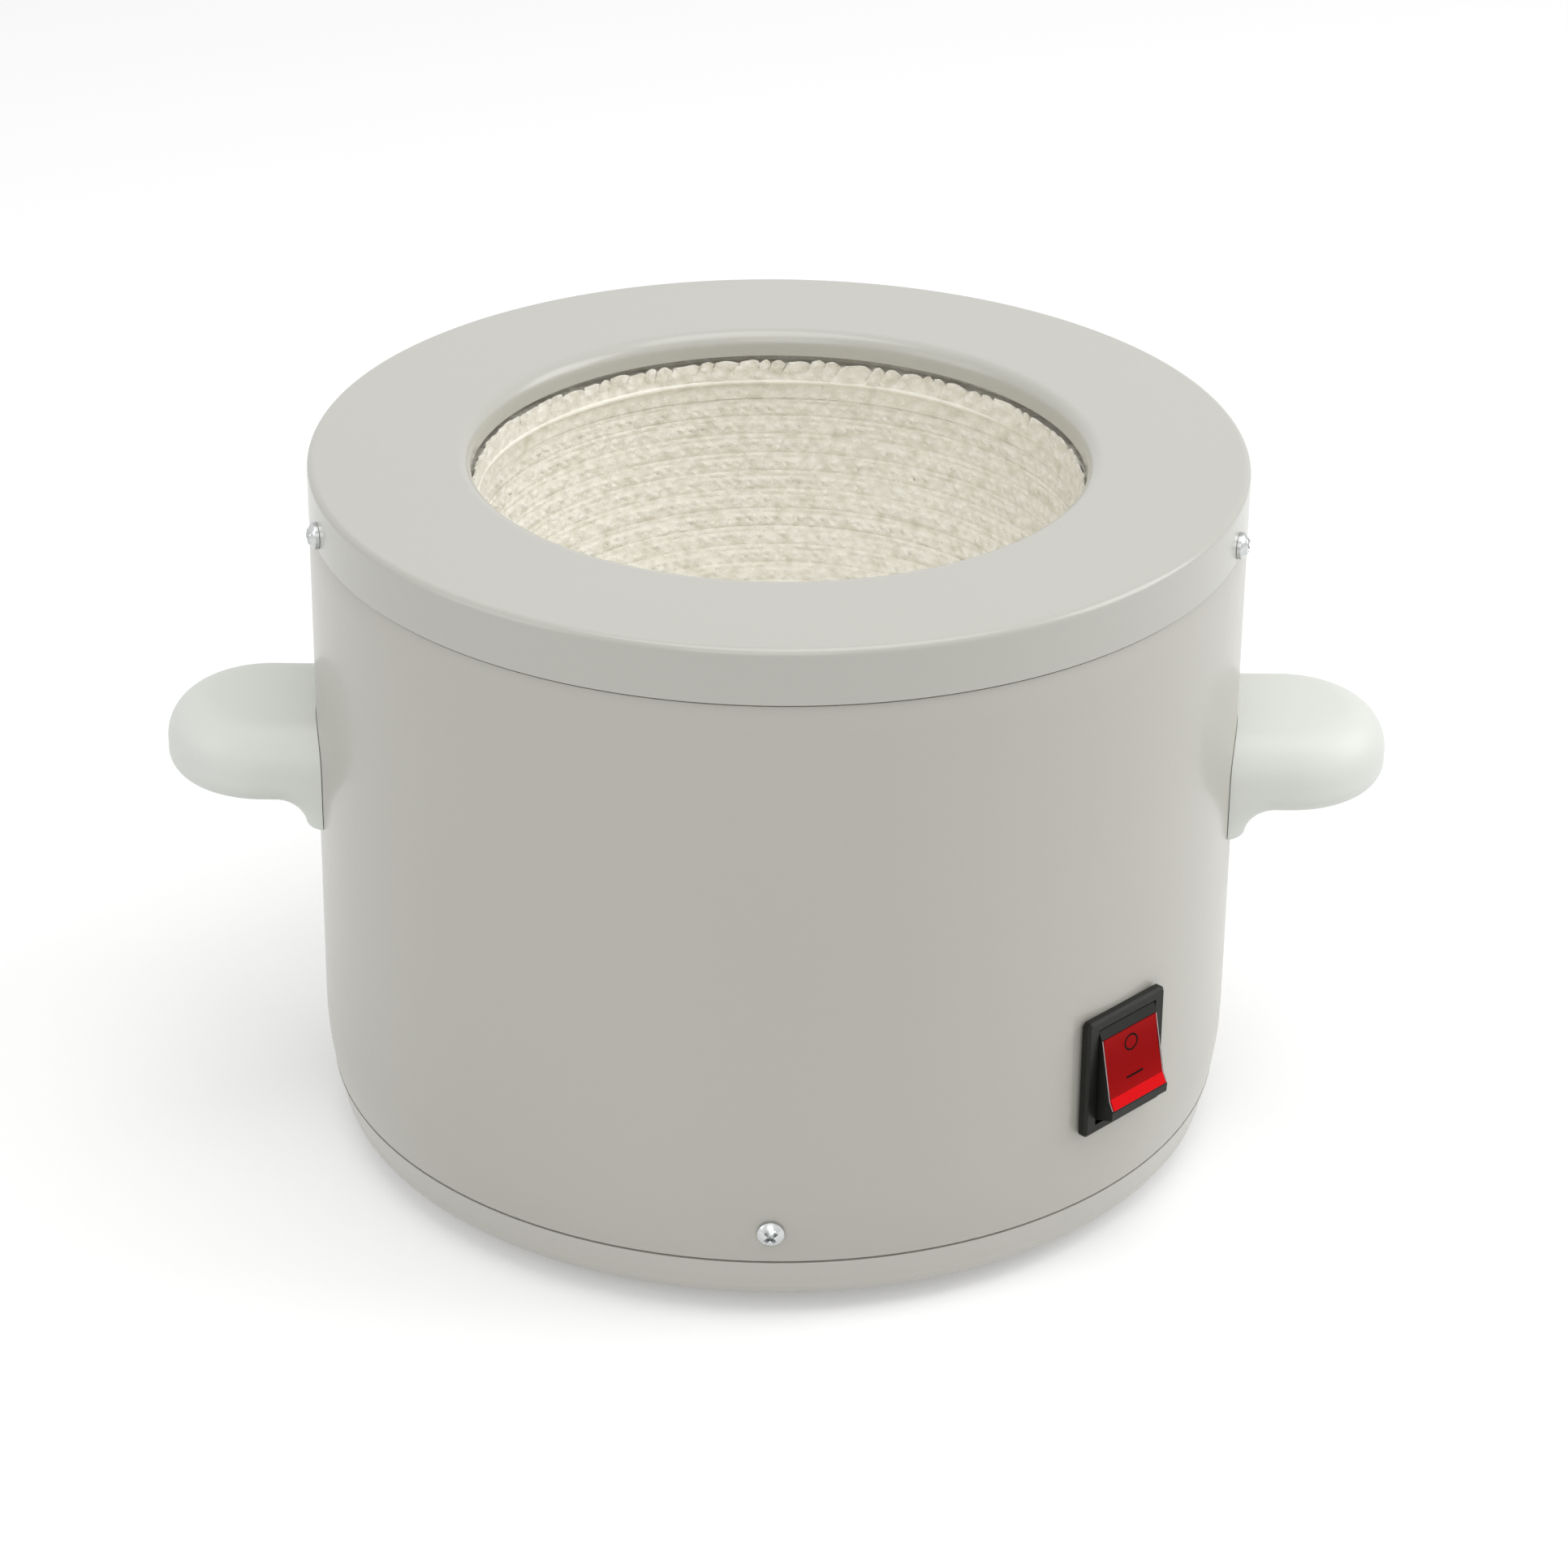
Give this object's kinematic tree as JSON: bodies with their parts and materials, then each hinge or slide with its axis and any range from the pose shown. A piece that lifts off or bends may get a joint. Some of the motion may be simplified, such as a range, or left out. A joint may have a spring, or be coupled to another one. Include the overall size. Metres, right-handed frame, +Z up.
{
  "type": "heating mantle",
  "caption": "Heating mantle for a round-bottom flask: enamelled steel case, ribbed glass-fibre cup, ear handles, rocker switch and rear appliance inlet.",
  "frame": {"origin": "centre of the base, on the plane that the feet stand on", "axes": "+Z up along the axis of the case, +X towards the right handle, -Y towards the front"},
  "size_m": [0.2726, 0.2101, 0.1595],
  "materials": {
    "cover_enamel": "satin",
    "body_enamel": "semi-gloss",
    "handle_plastic": "satin",
    "black_plastic": "satin",
    "red_plastic": "semi-gloss",
    "zinc": "bright zinc plate",
    "spring_steel": "dark phosphate",
    "brass": "machined",
    "nickel": "nickel plate",
    "glass_fibre": "knitted glass yarn",
    "fibre_block": "moulded ceramic fibre",
    "aluminium": "spun",
    "silicone": "matte",
    "resistance_alloy": "oxidised",
    "cutout_steel": "plated",
    "ceramic": "glazed",
    "foot_rubber": "matte"
  },
  "bodies": {
    "case": {"top_cover": "cover_enamel", "body_shell": "body_enamel", "base_pan": "body_enamel", "cover_screws": "zinc", "base_screws": "zinc", "cover_clip_nuts": "spring_steel", "base_clip_nuts": "spring_steel", "handle_right": "handle_plastic", "handle_left": "handle_plastic", "handle_inserts": "brass", "handle_screws": "zinc", "handle_washers": "zinc", "switch_housing": "black_plastic", "switch_blades": "brass", "inlet_housing": "black_plastic", "inlet_pins": "nickel", "inlet_screws": "zinc", "inlet_nuts": "zinc", "heating_cup": "glass_fibre", "insulation": "fibre_block", "inner_pan": "aluminium", "packing_ring": "fibre_block", "cover_gasket": "silicone", "heating_element": "resistance_alloy", "thermal_cutout": "cutout_steel", "cutout_nuts": "zinc", "terminal_block": "ceramic", "terminal_screws": "brass", "block_screws": "zinc", "earth_bolt": "zinc", "earth_nut": "zinc", "feet": "foot_rubber", "foot_screws": "zinc", "foot_nuts": "zinc"},
    "rocker": {"switch_rocker": "black_plastic", "switch_lens": "red_plastic"}
  },
  "joints": [
    {"name": "switch_rock", "type": "hinge", "parent": "case", "child": "rocker", "pos_m": [0.07323, -0.06949, 0.0478], "axis": [0.6884, 0.7254, 0], "range_deg": [0, 22]}
  ]
}
